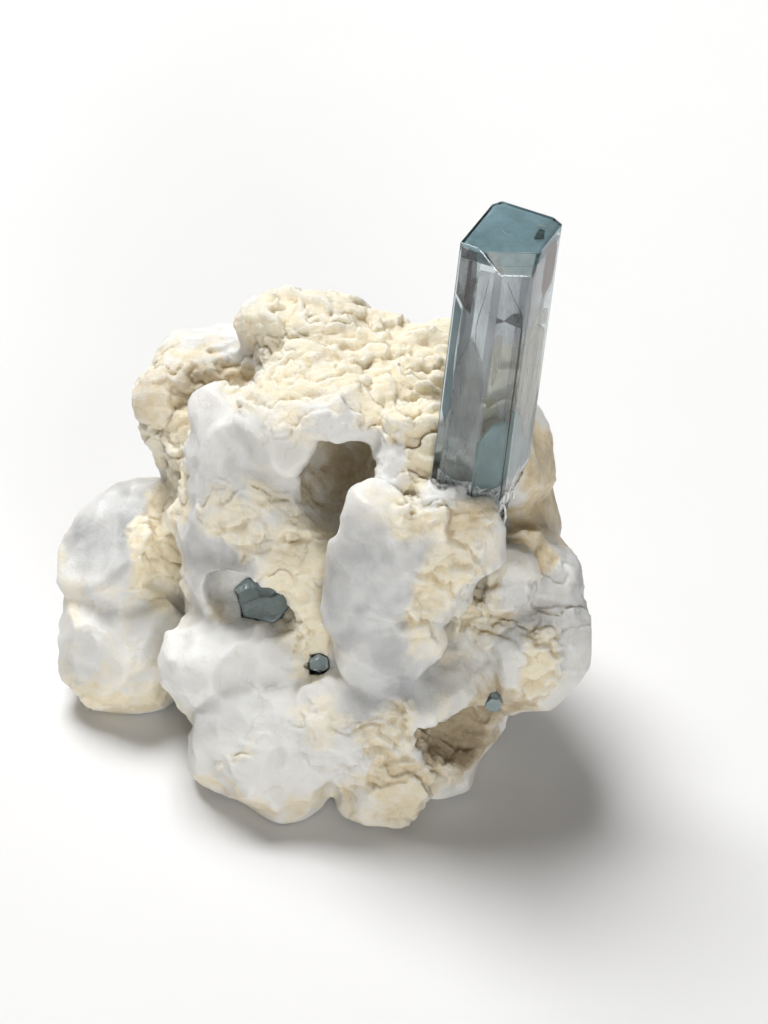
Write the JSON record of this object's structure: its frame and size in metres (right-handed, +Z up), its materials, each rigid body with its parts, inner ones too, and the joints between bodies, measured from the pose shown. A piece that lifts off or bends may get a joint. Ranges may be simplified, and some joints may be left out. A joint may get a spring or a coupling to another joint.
{
  "type": "aquamarine crystal specimen",
  "caption": "Mineral specimen: an upright blue-green beryl prism with small beryls, grown on a knobbly white and cream albite and quartz matrix that stands on its own base.",
  "frame": {"origin": "below the middle of the specimen's bounding box, on the plane it stands on", "axes": "+Z up; -Y towards the displayed front, with the tall crystal at +X"},
  "size_m": [0.051, 0.0398, 0.0589],
  "materials": {
    "stone": null,
    "beryl_clear": null,
    "beryl_dark": null
  },
  "bodies": {
    "root": {"matrix": "stone", "aquamarine": "beryl_clear", "beryl_pocket": "beryl_dark", "beryl_chip_left": "beryl_dark", "beryl_chip_right": "beryl_dark"}
  },
  "joints": []
}
